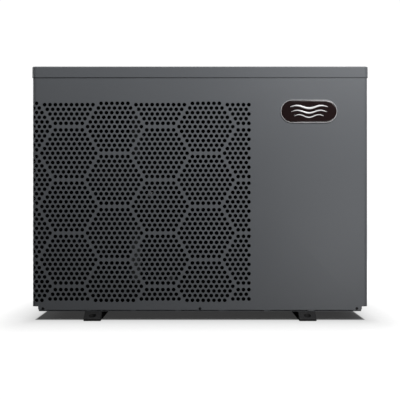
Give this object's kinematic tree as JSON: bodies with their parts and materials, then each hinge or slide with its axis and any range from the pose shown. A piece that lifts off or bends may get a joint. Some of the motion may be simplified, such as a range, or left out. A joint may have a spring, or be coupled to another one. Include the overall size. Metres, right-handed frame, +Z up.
{
  "type": "pool heat pump unit",
  "caption": "Low, wide air-to-water pool heat pump: graphite sheet cabinet with hexagon-pattern perforation at front and left, lid, rail feet, rear water unions, side display under a flap.",
  "frame": {"origin": "on the floor, at the centre of the unit's footprint (bounding box bottom centre)", "axes": "+Z up; the perforated front faces -Y; +X is to the right of somebody who faces the front"},
  "size_m": [1.0052, 0.5, 0.755],
  "materials": {
    "cabinet_paint": "satin graphite powder coat",
    "inner_black": "matt black coating",
    "fan_black": "matt black moulded",
    "black_plastic": "fine grained moulded",
    "foot_plastic": "matt moulded",
    "rubber": "matt",
    "grid_coating": "black dip coating",
    "galvanised": "galvanised sheet",
    "steel": "bright steel",
    "dark_screw": "blackened steel",
    "copper": "drawn copper tube",
    "brass": "machined brass",
    "fin_aluminium": "hydrophilic coated fins",
    "aluminium": "extruded",
    "compressor_black": "semi-gloss enamel",
    "pvc_grey": "moulded PVC",
    "titanium": "drawn titanium tube",
    "circuit_board": "solder mask",
    "terminal_plastic": "moulded",
    "screen": "polished",
    "flap": "smoked, polished",
    "key_plastic": "moulded",
    "badge_enamel": "dark enamel",
    "badge_silver": "satin silver"
  },
  "bodies": {
    "cabinet": {"front_panel": "cabinet_paint", "left_side_panel": "cabinet_paint", "right_side_panel": "cabinet_paint", "rear_service_panel": "cabinet_paint", "rear_coil_guard": "grid_coating", "rear_frame": "cabinet_paint", "top_cover": "cabinet_paint", "base_pan": "cabinet_paint", "left_foot": "foot_plastic", "right_foot": "foot_plastic", "foot_pads": "rubber", "foot_bolts": "steel", "drain_nozzle": "black_plastic", "partition": "inner_black", "fan_shroud": "inner_black", "fan_motor": "inner_black", "motor_bracket": "galvanised", "evaporator_fins": "fin_aluminium", "evaporator_tubes": "copper", "coil_end_plates": "galvanised", "compressor": "compressor_black", "compressor_grommets": "rubber", "compressor_bolts": "steel", "terminal_cover": "black_plastic", "suction_accumulator": "compressor_black", "four_way_valve": "brass", "four_way_valve_coil": "black_plastic", "discharge_pipe": "copper", "suction_pipe": "copper", "evaporator_gas_pipe": "copper", "condenser_gas_pipe": "copper", "liquid_pipe": "copper", "filter_drier": "copper", "expansion_valve": "brass", "heat_exchanger_shell": "pvc_grey", "heat_exchanger_cap": "pvc_grey", "titanium_coil": "titanium", "flow_switch": "black_plastic", "electrical_box": "galvanised", "heat_sink": "aluminium", "control_board": "circuit_board", "terminal_block": "terminal_plastic", "cable_glands": "black_plastic", "display_housing": "black_plastic", "display_screen": "screen", "display_hinge_pin": "steel", "union_tailpieces": "pvc_grey", "badge_plate": "badge_enamel", "badge_rim": "badge_silver", "cabinet_screws": "dark_screw"},
    "fan": {"fan_rotor": "fan_black", "fan_nut": "steel", "motor_shaft": "steel"},
    "display_flap": {"display_cover": "flap"},
    "power_key": {"key_power": "key_plastic"},
    "mode_key": {"key_mode": "key_plastic"},
    "down_key": {"key_down": "key_plastic"},
    "up_key": {"key_up": "key_plastic"},
    "inlet_nut": {"inlet_union_nut": "pvc_grey"},
    "outlet_nut": {"outlet_union_nut": "pvc_grey"}
  },
  "joints": [
    {"name": "fan_spin", "type": "hinge", "parent": "cabinet", "child": "fan", "pos_m": [-0.15, -0.112, 0.372], "axis": [0, -1, 0], "continuous": true},
    {"name": "display_flap_hinge", "type": "hinge", "parent": "cabinet", "child": "display_flap", "pos_m": [0.4962, -0.06, 0.6476], "axis": [0, -1, 0], "range_deg": [0, 100]},
    {"name": "power_key_press", "type": "slide", "parent": "cabinet", "child": "power_key", "axis": [-1, 0, 0], "range_m": [0, 0.0008], "stiffness_N_per_m": 900},
    {"name": "mode_key_press", "type": "slide", "parent": "cabinet", "child": "mode_key", "axis": [-1, 0, 0], "range_m": [0, 0.0008], "stiffness_N_per_m": 900},
    {"name": "down_key_press", "type": "slide", "parent": "cabinet", "child": "down_key", "axis": [-1, 0, 0], "range_m": [0, 0.0008], "stiffness_N_per_m": 900},
    {"name": "up_key_press", "type": "slide", "parent": "cabinet", "child": "up_key", "axis": [-1, 0, 0], "range_m": [0, 0.0008], "stiffness_N_per_m": 900},
    {"name": "inlet_nut_turn", "type": "hinge", "parent": "cabinet", "child": "inlet_nut", "pos_m": [0.395, 0.225, 0.13], "axis": [0, 1, 0], "continuous": true},
    {"name": "outlet_nut_turn", "type": "hinge", "parent": "cabinet", "child": "outlet_nut", "pos_m": [0.395, 0.225, 0.43], "axis": [0, 1, 0], "continuous": true}
  ]
}
